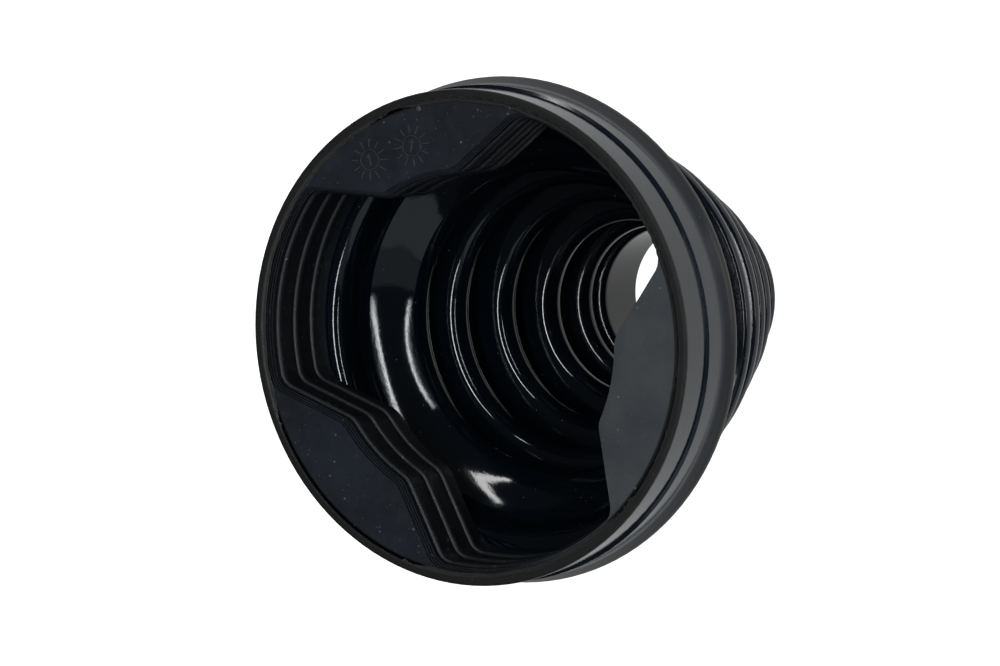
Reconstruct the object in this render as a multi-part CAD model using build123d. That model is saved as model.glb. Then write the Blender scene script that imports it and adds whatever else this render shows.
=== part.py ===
from build123d import *
import os
from math import asin, atan2, cos, hypot, isclose, pi, radians, sin, sqrt, tan

# Bellows boot of an inboard drive-shaft joint, with the three-lobed insert that fills its mouth.
# Millimetres and degrees. The boot stands on its small end: Z is its axis, z = 0 the small end's
# face, and the mouth looks up. The middle of one lobe lies on +Y.

# Small collar, which a clamp holds on the shaft
shaft_bore_radius = 13.9
shaft_bore_length = 12.4       # up to the middle of the rounded bore mouth
bore_mouth_rounding = 1.5
small_collar_wall = 2.1
small_seat_top = 11.4          # middle of the hollow between the seat and the lowest fold
small_seat_rounding = 1.0
small_bead_stand = 1.8         # out from the seat of the clamp
small_bead_height = 4.2        # middle of the bead that stops the clamp
small_bead_rounding = 1.2

# Folds from the small end up: crest radius outside, rise to that crest, root radius inside,
# rise to that root, and rounding of the root inside
folds = [
    (19.1, 2.2, 14.5, 3.25, 2.5),
    (24.7, 3.6, 16.15, 6.4, 3.1),
    (28.65, 4.8, 20.25, 5.5, 3.0),
    (32.2, 4.6, 24.05, 6.25, 3.0),
    (35.35, 4.2, 26.8, 5.6, 3.6),
]
wall = 1.3
crest_rounding = 1.5           # outside

# Shoulder from the top root out to the shelf that carries the insert
shoulder_sway = 5.0            # how far the cone's ends turn from its chord
shoulder_bend_rise = 9.7
shoulder_bend_rounding = 3.0   # inside
shoulder_hollow = 0.05         # its widest, out past the shelf's edge
shelf_rise = 6.05
shelf_width = 5.2              # in from the collar's bore
shelf_rounding = 3.3

# Large collar, which a clamp holds on the joint's housing
collar_radius = 42.0
collar_wall = 1.6
collar_depth = 17.6            # mouth down to the shelf
front_seat_width = 7.2
rear_seat_stand = 0.5          # out from the front seat of the clamp
rear_seat_end = 11.9           # below the mouth
seat_step_width = 0.3
collar_bead_stand = 1.8        # out from the front seat
collar_bead_depth = 15.0       # below the mouth
collar_bead_rounding = 1.3
bead_foot_rounding = 2.0
collar_back_rounding = 1.0

# Edges
lip_outer_rounding = 0.6
edge_rounding = 0.3

# Insert, whose socket takes the joint's three-lobed housing
insert_clearance = 0.2         # all round, in the collar's bore
insert_recess = 0.3            # front face below the boot's lip
insert_edge_chamfer = 0.3      # front and rear edges of its outer wall
insert_wall = 0.95             # between the lobes
lobe_count = 3
lobe_face_radius = 28.1
lobe_face_half_width = 7.2
lobe_flank_angle = 68.7        # from the lobe's middle line
lobe_nose_rounding = 4.0
lobe_root_rounding = 3.5
lead_in_steps = 3
lead_in_width = 0.6
lead_in_depth = 1.5
rib_count = 3
first_rib_depth = 3.3          # below the insert's front face
rib_pitch = 5.35
rib_rounding = 0.7
rib_height = 0.6

# Sizes that follow
small_seat_radius = shaft_bore_radius + small_collar_wall
small_bead_radius = small_seat_radius + small_bead_stand
collar_bore_radius = collar_radius - collar_wall
rear_seat_radius = collar_radius + rear_seat_stand
collar_bead_radius = collar_radius + collar_bead_stand
shelf_edge_radius = collar_bore_radius - shelf_width
shoulder_bend_radius = shelf_edge_radius + shoulder_hollow
insert_radius = collar_bore_radius - insert_clearance
socket_radius = insert_radius - insert_wall

quarter_turn = pi / 2
full_turn = 2 * pi


def heading(peg, following):
    """Direction in which the run from one peg to the next leaves the first and reaches the second."""
    across = following[0] - peg[0]
    along = following[1] - peg[1]
    sway = run_sway(peg, following)
    drift = (peg[2] - following[2]) * cos(sway) / hypot(across, along)
    return atan2(along, across) + sway - asin(drift)


def run_sway(peg, following):
    """Turn of a run's ends from its chord, which is 0 on a straight run."""
    return radians(min(peg[3], following[3]))


def belt_point(peg, direction):
    """Where a belt that runs in this direction touches the peg."""
    radius, height, bend, sway = peg
    return (radius + bend * cos(direction + quarter_turn), height + bend * sin(direction + quarter_turn))


def belt_run(peg, following, direction):
    """Straight run between two pegs, or two equal arcs in an S where it sways."""
    start = belt_point(peg, direction)
    end = belt_point(following, direction)
    sway = run_sway(peg, following)
    if not sway:
        return [Line(start, end)]
    middle = ((start[0] + end[0]) / 2, (start[1] + end[1]) / 2)
    turned = direction - 2 * sway
    return [
        TangentArc(start, middle, tangent=(cos(direction), sin(direction))),
        TangentArc(middle, end, tangent=(cos(turned), sin(turned))),
    ]


def belt(pegs):
    """Face inside a belt that runs clockwise round pegs.

    A peg is (radius, height, bend, sway). The bend is the rounding of the belt there: positive where
    it rounds an edge, negative in a hollow and 0 at a sharp corner. A run sways as much as both its
    pegs let it.
    """
    following = pegs[1:] + pegs[:1]
    directions = [heading(peg, after) for peg, after in zip(pegs, following)]
    edges = []
    for index, peg in enumerate(pegs):
        arriving = directions[index - 1]
        leaving = directions[index]
        if peg[2]:
            turn = (leaving - arriving + pi) % full_turn - pi
            middle = belt_point(peg, arriving + turn / 2)
            edges.append(ThreePointArc(belt_point(peg, arriving), middle, belt_point(peg, leaving)))
        edges += belt_run(peg, following[index], leaving)
    return make_face(edges)


def bellows_pegs():
    """Pegs of the wall's inside surface, from the bore's mouth up to the shelf's edge."""
    height = shaft_bore_length
    pegs = [(shaft_bore_radius + bore_mouth_rounding, height, bore_mouth_rounding, 0)]
    for crest_radius, crest_rise, root_radius, root_rise, root_rounding in folds:
        height += crest_rise
        pegs.append((crest_radius - crest_rounding, height, wall - crest_rounding, 0))
        height += root_rise
        pegs.append((root_radius + root_rounding, height, root_rounding, shoulder_sway))
    height += shoulder_bend_rise
    bend_peg_radius = shoulder_bend_radius - shoulder_bend_rounding
    pegs.append((bend_peg_radius, height, -shoulder_bend_rounding, shoulder_sway))
    height += shelf_rise
    pegs.append((shelf_edge_radius + shelf_rounding, height - shelf_rounding, shelf_rounding, 0))
    return pegs


def boot_section():
    """Half section of the boot: up its inside, over the lip and down its outside."""
    inside = bellows_pegs()
    outside = [(radius, height, wall - bend, sway) for radius, height, bend, sway in reversed(inside[1:])]
    shelf = shelf_height()
    mouth = mouth_height()
    collar_back = shelf - wall
    small_bead_top = small_bead_height + small_bead_rounding
    collar_bore = [
        (collar_bore_radius, shelf, 0, 0),
        (collar_bore_radius + edge_rounding, mouth - edge_rounding, edge_rounding, 0),
    ]
    collar_outside = [
        (collar_radius - lip_outer_rounding, mouth - lip_outer_rounding, lip_outer_rounding, 0),
        (collar_radius, mouth - front_seat_width, 0, 0),
        (rear_seat_radius, mouth - front_seat_width - seat_step_width, 0, 0),
        (rear_seat_radius + bead_foot_rounding, mouth - rear_seat_end, -bead_foot_rounding, 0),
        (collar_bead_radius - collar_bead_rounding, mouth - collar_bead_depth, collar_bead_rounding, 0),
        (collar_radius - collar_back_rounding, collar_back + collar_back_rounding, collar_back_rounding, 0),
    ]
    small_collar = [
        (small_seat_radius + small_seat_rounding, small_seat_top, -small_seat_rounding, 0),
        (small_seat_radius + edge_rounding, small_bead_top + edge_rounding, -edge_rounding, 0),
        (small_bead_radius - small_bead_rounding, small_bead_height, small_bead_rounding, 0),
        (small_seat_radius - lip_outer_rounding, lip_outer_rounding, lip_outer_rounding, 0),
        (shaft_bore_radius + edge_rounding, edge_rounding, edge_rounding, 0),
    ]
    return belt(inside + collar_bore + collar_outside + outside + small_collar)


def shelf_height():
    """Height of the shelf that the insert seats on."""
    radius, height, bend, sway = bellows_pegs()[-1]
    return height + bend


def mouth_height():
    """Height of the boot's lip."""
    return shelf_height() + collar_depth


def bellows_boot():
    return revolve(Plane.XZ * boot_section(), Axis.Z)


def socket_face():
    """Opening through the insert: a round hole with the lobes standing into it."""
    face_corner_reach = sqrt(lobe_face_radius ** 2 - lobe_face_half_width ** 2)
    flank_slope = tan(radians(lobe_flank_angle))
    tip = face_corner_reach - lobe_face_half_width / flank_slope
    base_half_width = (collar_radius - tip) * flank_slope
    wedge = Polygon((0, tip), (base_half_width, collar_radius), (-base_half_width, collar_radius), align=None)
    opening = Circle(socket_radius)
    for index in range(lobe_count):
        opening -= Rot(0, 0, index * 360 / lobe_count) * wedge
    opening += Circle(lobe_face_radius)
    between = (lobe_face_radius + socket_radius) / 2
    noses = opening.vertices().filter_by(lambda corner: hypot(corner.X, corner.Y) < between)
    opening = fillet(noses, lobe_nose_rounding)
    roots = opening.vertices().filter_by(is_lobe_root)
    return fillet(roots, lobe_root_rounding)


def is_lobe_root(corner):
    """Whether a corner of the opening is where a lobe's flank meets the round hole."""
    return isclose(hypot(corner.X, corner.Y), socket_radius)


def sealing_rib(opening):
    """Round rib, sunk in the socket's wall all round, at the height of its middle."""
    path = offset(opening, rib_rounding - rib_height).wire()
    start = Plane(path @ 0, z_dir=path % 0)
    return sweep(start * Circle(rib_rounding), path)


def trilobe_insert():
    """Insert seated on the shelf, with its stepped lead-in and its sealing ribs."""
    bottom = shelf_height()
    top = mouth_height() - insert_recess
    blank = Pos(0, 0, bottom) * extrude(Circle(insert_radius), top - bottom)
    blank = chamfer(blank.edges().filter_by(GeomType.CIRCLE), insert_edge_chamfer)
    opening = socket_face()
    insert = blank - Pos(0, 0, bottom) * extrude(opening, top - bottom)
    for step in range(lead_in_steps):
        widening = lead_in_width * (step + 1) / lead_in_steps
        depth = lead_in_depth * (lead_in_steps - step) / lead_in_steps
        insert -= Pos(0, 0, top - depth) * extrude(offset(opening, widening), depth)
    rib = sealing_rib(opening)
    for index in range(rib_count):
        depth = first_rib_depth + index * rib_pitch
        insert += (Pos(0, 0, top - depth) * rib) & blank
    return insert


if __name__ == "__main__":
    os.makedirs("parts", exist_ok=True)
    export_step(bellows_boot(), "parts/bellows_boot.step")
    export_step(trilobe_insert(), "parts/trilobe_insert.step")
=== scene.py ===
import math

import bpy
from mathutils import Matrix, Vector, noise


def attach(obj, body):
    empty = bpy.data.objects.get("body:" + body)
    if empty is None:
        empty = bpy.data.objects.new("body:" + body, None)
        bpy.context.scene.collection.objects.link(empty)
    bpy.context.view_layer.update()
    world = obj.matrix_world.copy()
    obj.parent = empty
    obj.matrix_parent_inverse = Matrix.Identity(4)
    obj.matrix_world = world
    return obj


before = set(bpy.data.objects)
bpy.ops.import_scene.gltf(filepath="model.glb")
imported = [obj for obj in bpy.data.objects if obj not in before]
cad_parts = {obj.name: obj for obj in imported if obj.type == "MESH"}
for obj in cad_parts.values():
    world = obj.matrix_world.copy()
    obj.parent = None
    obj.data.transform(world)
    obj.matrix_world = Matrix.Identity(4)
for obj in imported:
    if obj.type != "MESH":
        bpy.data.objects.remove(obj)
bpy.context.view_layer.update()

# Black rubber bellows boot with its three-lobed insert, which stands with its mouth up.
# Metres and radians, except where a comment says otherwise.
MM = 0.001

# Camera of the photograph: a long lens that looks down into the mouth
EYE = Vector((0.256781, -0.027461, 0.525079))
RIGHT = Vector((0.82574, -0.27538, -0.49226))
UP = Vector((0.26439, 0.95988, -0.09346))
BACK = RIGHT.cross(UP)
LENS = 108                             # millimetres, as is the sensor
SENSOR = 36
CLIP_START = 0.01

# Studio. A lamp's direction is (right, down, back) from the center, in the camera's directions.
CENTER = Vector((0, 0, 0.06))
LAMP_DISTANCE = 0.9
WHITE = (1, 1, 1)
COOL_WHITE = (0.94, 0.97, 1)
BLUE_WHITE = (0.8, 0.92, 1)
ROOM_LIGHT = 0.04

# Floor: white to the camera, dimmer in the rubber's gloss
FLOOR_SIZE = 20
FLOOR_COLOR = 0.9
FLOOR_GLOW = 0.965
FLOOR_MIRRORED_SHARE = 0.4

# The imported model's own heights and radii, in millimetres
LIP_HEIGHT = 92.15
INSERT_FACE_HEIGHT = 91.85
LIP_INNER_RADIUS = 40.4
LIP_INNER_ROUNDING = 0.3

# Zones of the rubber, each as where it starts and where it is complete
LIP_HEIGHTS = (0.0915, 0.0920)
LIP_RADII = (0.0402, 0.0405)
BEAD_RADII = (0.0431, 0.0437)
DEEP_HEIGHTS = (0.030, 0.016)
FACE_HEIGHTS = (0.0900, 0.0905)
FACE_TILTS = (0.6, 0.9)                # share of the surface's direction along +Z
# Painted shade: the insert's face darkens towards the lip, where the crevice between insert and lip is
CREVICE_SHADE_RADII = (0.03955, 0.0398)
# Painted light: one lobe of the insert's face is paler, as a nearer lamp would make it
LIT_LOBE = (0.866, -0.5, 0)           # direction from the axis
LIT_LOBE_REACH = (0.016, 0.030)            # distances in that direction
OUTSIDE_FACING = (-0.0004, 0.0004)     # distance from the axis times how far the surface looks out

# Colours. A pair is the darkest and the palest of a blotchy colour.
INSIDE_COLORS = ((0.0008, 0.0026, 0.0048), (0.0022, 0.0047, 0.0076))
OUTSIDE_COLORS = ((0.0042, 0.0082, 0.0140), (0.0085, 0.0142, 0.0215))
LIP_COLORS = ((0.0022, 0.0021, 0.0020), (0.0075, 0.0070, 0.0065))
BEAD_COLOR = (0.0110, 0.0098, 0.0085)
FACE_COLORS = ((0.0030, 0.0056, 0.0110), (0.0095, 0.0145, 0.0250))
SMEAR_COLOR = (0.0145, 0.018, 0.0235)
# Painted light: the paler colour of the more brightly lit lobe
LIT_LOBE_COLOR = (0.062, 0.070, 0.076)
WALL_COLORS = ((0.0024, 0.0042, 0.0066), (0.0056, 0.0082, 0.0118))
# Painted shade: colour of the crevice between the insert and the lip
CREVICE_SHADE_COLOR = (0.0012, 0.0013, 0.0015)
FLASH_COLORS = ((0.010, 0.0105, 0.0110), (0.024, 0.0235, 0.0230))
MARK_COLORS = ((0.038, 0.042, 0.048), (0.088, 0.094, 0.100))
BOOT_DUST_COLOR = (0.16, 0.16, 0.15)
INSERT_DUST_COLOR = (0.17, 0.17, 0.16)
FLASH_DUST_COLOR = (0.15, 0.15, 0.14)

# Noises, as lumps a metre, detail and where not 0.5 the roughness of the detail
BOOT_BLOTCHES = (90, 4)
LIP_BLOTCHES = (700, 5)
FACE_BLOOM = (60, 5, 0.6)
FACE_SMEAR = (260, 6, 0.65)
LIT_LOBE_PATCHES = (110, 4)
WALL_BLOTCHES = (200, 4)
FLASH_BLOTCHES = (900, 5)
MARK_BLOTCHES = (1200, 3)

# Parts of those noises that show, as where each starts and is complete
BLOOM_SPAN = (0.42, 0.68)
SMEAR_SPAN = (0.48, 0.72)
LIT_LOBE_SPAN = (0.3, 0.6)
ROUGH_SPAN = (0.3, 0.7)
SMEAR_MOST = 0.8
LIT_LOBE_LEAST = 0.6

# Roughness: the noise that it follows, and its least and most
INSIDE_ROUGH = ((240, 3), (0.05, 0.075))
OUTSIDE_ROUGH = ((300, 3), (0.11, 0.16))
FACE_ROUGH = ((300, 4), (0.52, 0.66))
WALL_ROUGH = ((300, 4), (0.42, 0.54))
FLASH_ROUGH = ((500, 3), (0.5, 0.65))
MARK_ROUGH = ((900, 3), (0.3, 0.5))
DEEP_EXTRA_ROUGH = 0.08
LIP_ROUGH = 0.7
BEAD_ROUGH = 0.4
DUST_ROUGH = 0.8

# Bumps: the noise, its height and its strength
BOOT_LUMPS = ((260, 2), 0.00012, 0.09)
BOOT_GRAIN = ((2600, 3), 0.00002, 0.25)
INSERT_LUMPS = ((420, 4), 0.0002, 0.22)
INSERT_GRAIN = ((3200, 4), 0.00003, 0.4)
FLASH_GRAIN = ((1500, 4), 0.0001, 0.5)
MARK_GRAIN = ((2500, 3), 0.00004, 0.4)

# Dust: cells a metre, a speck's radius as a share of its cell, and the share of cells with a speck
BOOT_DUST = (900, 0.10, 0.16)
COARSE_DUST = (600, 0.13, 0.35)
FINE_DUST = (1300, 0.14, 0.4)
FLASH_DUST = (1300, 0.16, 0.35)
SPECK_CORE = 0.5                       # share of a speck's radius that is all dust
SPECK_FAINTEST = 0.35

# Flash: a film of rubber over the joint between the lip and the insert. Millimetres and degrees.
FLASH_STEPS = 1440
FLASH_ACROSS = 4                       # faces from its inner edge to its outer one
FLASH_THICKNESS = 0.06
FLASH_SINK = 0.02                      # its underside, below the insert's face
FLASH_BELOW_LIP = 0.002
FLASH_INNER_RADIUS = 39.75
FLASH_RAGGED = 0.22
FLASH_SLOW_WAVES = 9                   # roughly how many a radian
FLASH_FAST_WAVES = 42
FLASH_FINE_WAVES = 95
FLASH_FINE_SHARE = 0.5
FLASH_FAST_SHARE = 0.6

# Where the flash is torn open, in degrees from +X, and how raggedly
TEARS = [(84, 99), (180, 243), (-66, 2)]
TEAR_FADE = 7.0
TEAR_RADIUS = 40.6
TEAR_RAGGED = 0.15
TEAR_OPENING = 1.3
TEAR_SLOW_SHARE = 1.6
TEAR_FAST_SHARE = 0.7

# Moulded marks on the insert's front face, in millimetres
MARK_WIDTH = 0.18
MARK_HEIGHT = 0.2
MARK_SINK = 0.05
MARK_TOP_SHARE = 0.5                   # share of its width that a mark keeps at its top
DIALS = [(-7.8, 33.9, 0.25), (0.9, 33.7, -0.15)]   # x, y and turn
DIAL_RADIUS = 1.75
DIAL_RING_STEPS = 24
DIAL_TICKS = 12
DIAL_TICK_START = 2.2
DIAL_TICK_END = 3.5
DIAL_TICK_WIDTH = MARK_WIDTH * 1.1
POINTER_WIDTH = MARK_WIDTH * 1.6
POINTER_TURN = 1.3                     # from the dial's own turn
POINTER_REACH = 1.0                    # each way from the dial's middle
BARB_START = 0.4
BARB_SPREAD = 0.5

# Pips where the mould was vented, as (x, y, radius) in millimetres
VENT_PIPS = [(4.2, 39.2, 0.5), (21.0, 34.0, 0.25), (15.1, 35.5, 0.22), (14.0, 34.7, 0.18)]
PIP_PROFILE = ((1.0, -MARK_SINK), (0.95, 0.1), (0.6, 0.2))   # share of the radius, and height
PIP_SIDES = 16

FULL_TURN = 2 * math.pi


def add_camera():
    data = bpy.data.cameras.new("camera")
    data.lens = LENS
    data.sensor_width = SENSOR
    data.clip_start = CLIP_START
    data.clip_end = FLOOR_SIZE
    camera = bpy.data.objects.new("camera", data)
    bpy.context.scene.collection.objects.link(camera)
    camera.matrix_world = placed(EYE, RIGHT, UP)
    bpy.context.scene.camera = camera


def placed(origin, right, up):
    """Matrix of something that looks along its own -Z from the origin."""
    right = right.normalized()
    back = right.cross(up).normalized()
    up = back.cross(right)
    matrix = Matrix((right, up, back)).transposed().to_4x4()
    matrix.translation = origin
    return matrix


def add_softbox(name, toward, width, height, strength, lean=0.0, color=WHITE, shape="RECTANGLE"):
    """Flat lamp that faces the object, turned by its lean about its own direction."""
    right, down, back = toward
    direction = (RIGHT * right - UP * down + BACK * back).normalized()
    data = bpy.data.lights.new(name, "AREA")
    data.shape = shape
    data.size = width
    data.size_y = height
    data.energy = strength * math.pi * width * height
    data.color = color
    light = bpy.data.objects.new(name, data)
    bpy.context.scene.collection.objects.link(light)
    up = UP * math.cos(lean) - RIGHT * math.sin(lean)
    light.matrix_world = placed(CENTER + direction * LAMP_DISTANCE, up.cross(direction), up)


def add_lamps():
    """Long softboxes that draw the thin highlights, and two cards that the shoulder mirrors."""
    add_softbox("softbox_a", (-0.27, 0.03, 0.96), width=0.066, height=1.0, strength=16.5, lean=0.24,
                color=COOL_WHITE, shape="ELLIPSE")
    add_softbox("softbox_b", (0.22, -0.1, 0.97), width=0.03, height=0.84, strength=14.5, lean=0.23,
                color=COOL_WHITE, shape="ELLIPSE")
    add_softbox("softbox_c", (-0.43, -0.76, 0.48), width=0.045, height=0.62, strength=12, lean=0.45)
    add_softbox("softbox_d", (0.93, -0.25, 0.68), width=0.1, height=0.6, strength=4)
    add_softbox("pale_card", (0.12, 0.76, 0.63), width=0.62, height=0.5, strength=0.5, color=BLUE_WHITE)
    add_softbox("dim_card", (0.12, 0.5, 0.85), width=0.62, height=0.25, strength=0.25, color=BLUE_WHITE)


def new_material(name):
    """Empty material with its shader, and the tree that it is built in."""
    material = bpy.data.materials.new(name)
    material.use_nodes = True
    tree = material.node_tree
    tree.nodes.clear()
    out = tree.nodes.new("ShaderNodeOutputMaterial")
    shader = tree.nodes.new("ShaderNodeBsdfPrincipled")
    tree.links.new(shader.outputs[0], out.inputs[0])
    return material, tree, shader


def place_of(tree):
    return tree.nodes.new("ShaderNodeTexCoord").outputs["Object"]


def facing_of(tree):
    """Direction that the surface looks in."""
    return tree.nodes.new("ShaderNodeTexCoord").outputs["Normal"]


def place_across(tree):
    """Place from the axis, without its height."""
    flat = tree.nodes.new("ShaderNodeMapping")
    flat.inputs["Scale"].default_value = (1, 1, 0)
    tree.links.new(place_of(tree), flat.inputs[0])
    return flat.outputs[0]


def along_z(tree, vector):
    split = tree.nodes.new("ShaderNodeSeparateXYZ")
    tree.links.new(vector, split.inputs[0])
    return split.outputs[2]


def dot_product(tree, first, second):
    """Dot product of a socket and a socket or a fixed direction."""
    node = tree.nodes.new("ShaderNodeVectorMath")
    node.operation = "DOT_PRODUCT"
    tree.links.new(first, node.inputs[0])
    if isinstance(second, tuple):
        node.inputs[1].default_value = second
    else:
        tree.links.new(second, node.inputs[1])
    return node.outputs["Value"]


def radius_of(tree):
    """Distance from the axis."""
    length = tree.nodes.new("ShaderNodeVectorMath")
    length.operation = "LENGTH"
    tree.links.new(place_across(tree), length.inputs[0])
    return length.outputs["Value"]


def noise_of(tree, scale, detail, roughness=0.5):
    """Noise from 0 to 1 with this many lumps a metre."""
    node = tree.nodes.new("ShaderNodeTexNoise")
    node.inputs["Scale"].default_value = scale
    node.inputs["Detail"].default_value = detail
    node.inputs["Roughness"].default_value = roughness
    tree.links.new(place_of(tree), node.inputs["Vector"])
    return node.outputs["Fac"]


def ramp(tree, value, span, levels=(0, 1)):
    """The value brought from the span to the levels, and held there outside."""
    node = tree.nodes.new("ShaderNodeMapRange")
    node.inputs["From Min"].default_value, node.inputs["From Max"].default_value = span
    node.inputs["To Min"].default_value, node.inputs["To Max"].default_value = levels
    tree.links.new(value, node.inputs["Value"])
    return node.outputs[0]


def math_of(tree, operation, first, second):
    node = tree.nodes.new("ShaderNodeMath")
    node.operation = operation
    for socket, value in zip(node.inputs, (first, second)):
        if isinstance(value, (int, float)):
            socket.default_value = value
        else:
            tree.links.new(value, socket)
    return node.outputs[0]


def product(tree, first, second):
    return math_of(tree, "MULTIPLY", first, second)


def larger(tree, first, second):
    return math_of(tree, "MAXIMUM", first, second)


def mixed(tree, share, first, second):
    """Colour between two, each a colour or a socket."""
    node = tree.nodes.new("ShaderNodeMix")
    node.data_type = "RGBA"
    tree.links.new(share, node.inputs["Factor"])
    for name, value in (("A", first), ("B", second)):
        socket = [each for each in node.inputs if each.name == name and each.type == "RGBA"][0]
        if isinstance(value, tuple):
            socket.default_value = (*value, 1)
        else:
            tree.links.new(value, socket)
    return [each for each in node.outputs if each.type == "RGBA"][0]


def between(tree, share, first, second):
    """Number between two sockets."""
    node = tree.nodes.new("ShaderNodeMix")
    tree.links.new(share, node.inputs["Factor"])
    tree.links.new(first, node.inputs["A"])
    tree.links.new(second, node.inputs["B"])
    return node.outputs[0]


def roughness_of(tree, pattern, levels):
    return ramp(tree, noise_of(tree, *pattern), ROUGH_SPAN, levels)


def bump_of(tree, pattern, distance, strength, after=None):
    node = tree.nodes.new("ShaderNodeBump")
    node.inputs["Strength"].default_value = strength
    node.inputs["Distance"].default_value = distance
    tree.links.new(noise_of(tree, *pattern), node.inputs["Height"])
    if after:
        tree.links.new(after, node.inputs["Normal"])
    return node.outputs[0]


def dust_of(tree, scale, size, share):
    """Sharp specks: how much of each point is dust."""
    voronoi = tree.nodes.new("ShaderNodeTexVoronoi")
    voronoi.inputs["Scale"].default_value = scale
    tree.links.new(place_of(tree), voronoi.inputs["Vector"])
    speck = ramp(tree, voronoi.outputs["Distance"], (size * SPECK_CORE, size), (1, 0))
    split = tree.nodes.new("ShaderNodeSeparateColor")
    tree.links.new(voronoi.outputs["Color"], split.inputs[0])
    chosen = math_of(tree, "LESS_THAN", split.outputs[0], share)
    strength = ramp(tree, split.outputs[1], (0, 1), (SPECK_FAINTEST, 1))
    return product(tree, product(tree, speck, chosen), strength)


def glossy_rubber():
    """Boot: glossy inside, satin outside, and worn matte on the lip and the bead."""
    material, tree, shader = new_material("glossy_rubber")
    height = along_z(tree, place_of(tree))
    radius = radius_of(tree)
    outside = ramp(tree, dot_product(tree, place_across(tree), facing_of(tree)), OUTSIDE_FACING)
    lip = product(tree, ramp(tree, height, LIP_HEIGHTS), ramp(tree, radius, LIP_RADII))
    bead = ramp(tree, radius, BEAD_RADII)
    dust = dust_of(tree, *BOOT_DUST)

    blotch = noise_of(tree, *BOOT_BLOTCHES)
    inside_color = mixed(tree, blotch, *INSIDE_COLORS)
    outside_color = mixed(tree, blotch, *OUTSIDE_COLORS)
    lip_color = mixed(tree, noise_of(tree, *LIP_BLOTCHES), *LIP_COLORS)
    color = mixed(tree, lip, mixed(tree, outside, inside_color, outside_color), lip_color)
    color = mixed(tree, bead, color, BEAD_COLOR)
    tree.links.new(mixed(tree, dust, color, BOOT_DUST_COLOR), shader.inputs["Base Color"])

    deep = product(tree, ramp(tree, height, DEEP_HEIGHTS), DEEP_EXTRA_ROUGH)
    inside_rough = math_of(tree, "ADD", roughness_of(tree, *INSIDE_ROUGH), deep)
    rough = larger(tree, inside_rough, product(tree, outside, roughness_of(tree, *OUTSIDE_ROUGH)))
    for share, level in ((lip, LIP_ROUGH), (bead, BEAD_ROUGH), (dust, DUST_ROUGH)):
        rough = larger(tree, rough, product(tree, share, level))
    tree.links.new(rough, shader.inputs["Roughness"])

    lumps = bump_of(tree, *BOOT_LUMPS)
    tree.links.new(bump_of(tree, *BOOT_GRAIN, after=lumps), shader.inputs["Normal"])
    return material


def matte_rubber():
    """Insert: matte front faces with a dusty bloom, and a darker, smoother socket wall."""
    material, tree, shader = new_material("matte_rubber")
    upward = ramp(tree, along_z(tree, facing_of(tree)), FACE_TILTS)
    front = product(tree, upward, ramp(tree, along_z(tree, place_of(tree)), FACE_HEIGHTS))
    # Painted shade: a dark band on the insert next to the lip stands in for the crevice's shadow
    crevice_shade = ramp(tree, radius_of(tree), CREVICE_SHADE_RADII)
    dust = larger(tree, dust_of(tree, *COARSE_DUST), dust_of(tree, *FINE_DUST))

    bloom = ramp(tree, noise_of(tree, *FACE_BLOOM), BLOOM_SPAN)
    smear = ramp(tree, noise_of(tree, *FACE_SMEAR), SMEAR_SPAN, (0, SMEAR_MOST))
    face_color = mixed(tree, smear, mixed(tree, bloom, *FACE_COLORS), SMEAR_COLOR)
    # Painted light: one lobe's face is paler, in patches
    face_color = mixed(tree, lit_lobe_share(tree), face_color, LIT_LOBE_COLOR)
    wall_color = mixed(tree, noise_of(tree, *WALL_BLOTCHES), *WALL_COLORS)
    color = mixed(tree, crevice_shade, mixed(tree, front, wall_color, face_color), CREVICE_SHADE_COLOR)
    tree.links.new(mixed(tree, dust, color, INSERT_DUST_COLOR), shader.inputs["Base Color"])

    rough = between(tree, front, roughness_of(tree, *WALL_ROUGH), roughness_of(tree, *FACE_ROUGH))
    tree.links.new(rough, shader.inputs["Roughness"])

    lumps = bump_of(tree, *INSERT_LUMPS)
    tree.links.new(bump_of(tree, *INSERT_GRAIN, after=lumps), shader.inputs["Normal"])
    return material


def lit_lobe_share(tree):
    """Painted light: paler patches on one lobe's face, as though a nearer lamp lit it more."""
    near = ramp(tree, dot_product(tree, place_of(tree), LIT_LOBE), LIT_LOBE_REACH)
    return product(tree, near, ramp(tree, noise_of(tree, *LIT_LOBE_PATCHES), LIT_LOBE_SPAN, (LIT_LOBE_LEAST, 1)))


def flash_rubber():
    """Flash: dull and brownish, like the lip."""
    material, tree, shader = new_material("flash_rubber")
    color = mixed(tree, noise_of(tree, *FLASH_BLOTCHES), *FLASH_COLORS)
    color = mixed(tree, dust_of(tree, *FLASH_DUST), color, FLASH_DUST_COLOR)
    tree.links.new(color, shader.inputs["Base Color"])
    tree.links.new(roughness_of(tree, *FLASH_ROUGH), shader.inputs["Roughness"])
    tree.links.new(bump_of(tree, *FLASH_GRAIN), shader.inputs["Normal"])
    return material


def mark_rubber():
    """Raised marks, polished by wear and so a little paler."""
    material, tree, shader = new_material("mark_rubber")
    color = mixed(tree, noise_of(tree, *MARK_BLOTCHES), *MARK_COLORS)
    tree.links.new(color, shader.inputs["Base Color"])
    tree.links.new(roughness_of(tree, *MARK_ROUGH), shader.inputs["Roughness"])
    tree.links.new(bump_of(tree, *MARK_GRAIN), shader.inputs["Normal"])
    return material


def add_piece(name, points, faces, material, smooth=True):
    """Piece of the boot from points in millimetres."""
    mesh = bpy.data.meshes.new(name)
    mesh.from_pydata([Vector(point) * MM for point in points], [], faces)
    mesh.validate()
    for polygon in mesh.polygons:
        polygon.use_smooth = smooth
    mesh.materials.append(material)
    piece = bpy.data.objects.new(name, mesh)
    bpy.context.scene.collection.objects.link(piece)
    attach(piece, "root")


def torn_share(angle):
    """How far the flash is torn open at this angle in degrees, from 0 to 1."""
    share = 0
    for start, end in TEARS:
        into = (angle - start) % 360
        length = end - start
        if into < length:
            share = max(share, min(1, into / TEAR_FADE, (length - into) / TEAR_FADE))
    return share


def outward(angle):
    """Direction from the axis at this angle in degrees."""
    return Vector((math.cos(math.radians(angle)), math.sin(math.radians(angle)), 0))


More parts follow.
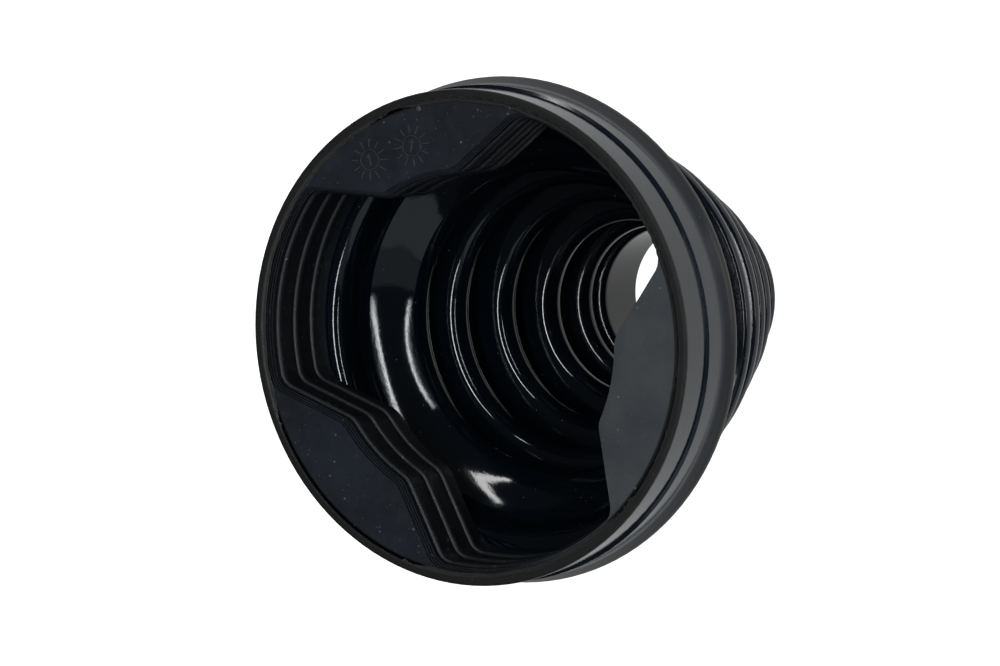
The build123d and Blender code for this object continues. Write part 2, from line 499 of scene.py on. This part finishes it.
def flash_edge(angle):
    """Radius of the flash's ragged inner edge at this angle in degrees."""
    around = outward(angle)
    slow = noise.noise(around * FLASH_SLOW_WAVES)
    fast = noise.noise(around * FLASH_FAST_WAVES)
    fast += FLASH_FINE_SHARE * noise.noise(around * FLASH_FINE_WAVES)
    opening = TEAR_OPENING + TEAR_SLOW_SHARE * slow + TEAR_FAST_SHARE * fast
    share = torn_share(angle) * min(1, max(0, opening))
    whole = FLASH_INNER_RADIUS + FLASH_RAGGED * (slow + FLASH_FAST_SHARE * fast)
    torn = TEAR_RADIUS + TEAR_RAGGED * min(0, fast)
    return min(TEAR_RADIUS, whole + (torn - whole) * share)


def on_lip(radius):
    """Height of the surface that the flash lies on at this radius."""
    if radius < LIP_INNER_RADIUS:
        return INSERT_FACE_HEIGHT
    into = max(0, LIP_INNER_RADIUS + LIP_INNER_ROUNDING - radius)
    return INSERT_FACE_HEIGHT + math.sqrt(max(0, LIP_INNER_ROUNDING ** 2 - into ** 2))


def flash_section(inner, outer):
    """Outline of the flash, as (radius, height): out along its top and back along its underside."""
    top = []
    for index in range(FLASH_ACROSS + 1):
        share = index / FLASH_ACROSS
        radius = inner + (outer - inner) * share
        height = min(LIP_HEIGHT - FLASH_BELOW_LIP, on_lip(radius) + FLASH_THICKNESS * (1 - share))
        top.append((radius, height))
    return top + [(radius, INSERT_FACE_HEIGHT - FLASH_SINK) for radius, height in reversed(top)]


def add_flash(material):
    """Closed ring of flash with a ragged inner edge."""
    points = []
    faces = []
    outer = LIP_INNER_RADIUS + LIP_INNER_ROUNDING
    for step in range(FLASH_STEPS):
        angle = step * 360 / FLASH_STEPS
        for radius, height in flash_section(flash_edge(angle), outer):
            points.append(outward(angle) * radius + Vector((0, 0, height)))
    count = len(points) // FLASH_STEPS
    for step in range(FLASH_STEPS):
        here = step * count
        there = (step + 1) % FLASH_STEPS * count
        for index in range(count):
            other = (index + 1) % count
            faces.append((here + index, there + index, there + other, here + other))
    add_piece("lip_flash", points, faces, material)


def bar(points, faces, start, end, width):
    """Raised bar between two (x, y) places on the insert's face, with sloping sides."""
    along = (end - start).normalized()
    side = Vector((-along.y, along.x)) * width / 2
    first = len(points)
    for rise, share in ((-MARK_SINK, 1), (MARK_HEIGHT, MARK_TOP_SHARE)):
        for place, out in ((start, -along), (end, along)):
            tip = place + out * width / 2 * share
            for way in (1, -1):
                points.append((*(tip + side * share * way), INSERT_FACE_HEIGHT + rise))
    quads = [(0, 1, 5, 4), (3, 2, 6, 7), (2, 0, 4, 6), (1, 3, 7, 5), (4, 5, 7, 6), (0, 2, 3, 1)]
    faces += [tuple(first + corner for corner in quad) for quad in quads]


def on_circle(angle):
    return Vector((math.cos(angle), math.sin(angle)))


def add_dial(index, x, y, turn, material):
    """Moulder's dial: a ring with ticks round it and a pointer inside."""
    points = []
    faces = []
    center = Vector((x, y))
    for step in range(DIAL_RING_STEPS):
        start = center + on_circle(step * FULL_TURN / DIAL_RING_STEPS) * DIAL_RADIUS
        end = center + on_circle((step + 1) * FULL_TURN / DIAL_RING_STEPS) * DIAL_RADIUS
        bar(points, faces, start, end, MARK_WIDTH)
    for tick in range(DIAL_TICKS):
        around = on_circle(turn + tick * FULL_TURN / DIAL_TICKS)
        start, end = center + around * DIAL_TICK_START, center + around * DIAL_TICK_END
        bar(points, faces, start, end, DIAL_TICK_WIDTH)
    pointing = on_circle(turn + POINTER_TURN)
    side = Vector((-pointing.y, pointing.x))
    tip = center + pointing * POINTER_REACH
    bar(points, faces, center - pointing * POINTER_REACH, tip, POINTER_WIDTH)
    for way in (-1, 1):
        bar(points, faces, tip, center + pointing * BARB_START + side * BARB_SPREAD * way, MARK_WIDTH)
    add_piece("dial_%d" % index, points, faces, material, smooth=False)


def add_pips(material):
    """Small round stubs where the mould was vented."""
    points = []
    faces = []
    around = [on_circle(step * FULL_TURN / PIP_SIDES) for step in range(PIP_SIDES)]
    for x, y, radius in VENT_PIPS:
        first = len(points)
        center = Vector((x, y))
        for share, rise in PIP_PROFILE:
            height = INSERT_FACE_HEIGHT + rise
            points += [(*(center + out * radius * share), height) for out in around]
        top = first + (len(PIP_PROFILE) - 1) * PIP_SIDES
        for low in range(first, top, PIP_SIDES):
            for step in range(PIP_SIDES):
                after = (step + 1) % PIP_SIDES
                faces.append((low + step, low + after, low + PIP_SIDES + after, low + PIP_SIDES + step))
        faces.append(tuple(range(top, top + PIP_SIDES)))
        faces.append(tuple(reversed(range(first, first + PIP_SIDES))))
    add_piece("vent_pips", points, faces, material)


def blended(tree, share, first, second):
    """Shader between two."""
    node = tree.nodes.new("ShaderNodeMixShader")
    for socket, value in zip(node.inputs, (share, first, second)):
        tree.links.new(value, socket)
    return node.outputs[0]


def add_floor():
    """White floor, which keeps the object's shadow."""
    mesh = bpy.data.meshes.new("floor")
    corners = [(-1, -1, 0), (1, -1, 0), (1, 1, 0), (-1, 1, 0)]
    mesh.from_pydata([Vector(corner) * FLOOR_SIZE for corner in corners], [], [(0, 1, 2, 3)])
    floor = bpy.data.objects.new("floor", mesh)
    bpy.context.scene.collection.objects.link(floor)
    mesh.materials.append(floor_material())


def floor_material():
    """Pale and matte under the lamps, with a glow that the camera and the rubber's gloss see."""
    material = bpy.data.materials.new("floor")
    material.use_nodes = True
    tree = material.node_tree
    tree.nodes.clear()
    out = tree.nodes.new("ShaderNodeOutputMaterial")
    diffuse = tree.nodes.new("ShaderNodeBsdfDiffuse")
    diffuse.inputs[0].default_value = (FLOOR_COLOR, FLOOR_COLOR, FLOOR_COLOR, 1)
    white = tree.nodes.new("ShaderNodeEmission")
    seen = tree.nodes.new("ShaderNodeEmission")
    path = tree.nodes.new("ShaderNodeLightPath")
    mirrored = larger(tree, path.outputs["Is Glossy Ray"], path.outputs["Is Transmission Ray"])
    lit = blended(tree, product(tree, mirrored, FLOOR_MIRRORED_SHARE), diffuse.outputs[0], white.outputs[0])
    tree.links.new(product(tree, path.outputs["Is Camera Ray"], FLOOR_GLOW), seen.inputs[1])
    both = tree.nodes.new("ShaderNodeAddShader")
    tree.links.new(lit, both.inputs[0])
    tree.links.new(seen.outputs[0], both.inputs[1])
    tree.links.new(both.outputs[0], out.inputs[0])
    return material


def add_world():
    """White backdrop for the camera, and a dim room for the object."""
    world = bpy.data.worlds.new("studio")
    bpy.context.scene.world = world
    world.use_nodes = True
    tree = world.node_tree
    tree.nodes.clear()
    out = tree.nodes.new("ShaderNodeOutputWorld")
    white = tree.nodes.new("ShaderNodeBackground")
    white.inputs[0].default_value = (*WHITE, 1)
    room = tree.nodes.new("ShaderNodeBackground")
    room.inputs[0].default_value = (*WHITE, 1)
    room.inputs[1].default_value = ROOM_LIGHT
    path = tree.nodes.new("ShaderNodeLightPath")
    backdrop = blended(tree, path.outputs["Is Camera Ray"], room.outputs[0], white.outputs[0])
    tree.links.new(backdrop, out.inputs[0])


add_camera()
add_floor()
add_world()
add_lamps()
for node, make in (("bellows_boot", glossy_rubber), ("trilobe_insert", matte_rubber)):
    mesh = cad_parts[node].data
    mesh.materials.clear()
    mesh.materials.append(make())
add_flash(flash_rubber())
marks = mark_rubber()
for index, (x, y, turn) in enumerate(DIALS):
    add_dial(index, x, y, turn, marks)
add_pips(marks)

bpy.context.scene.view_settings.view_transform = "Standard"
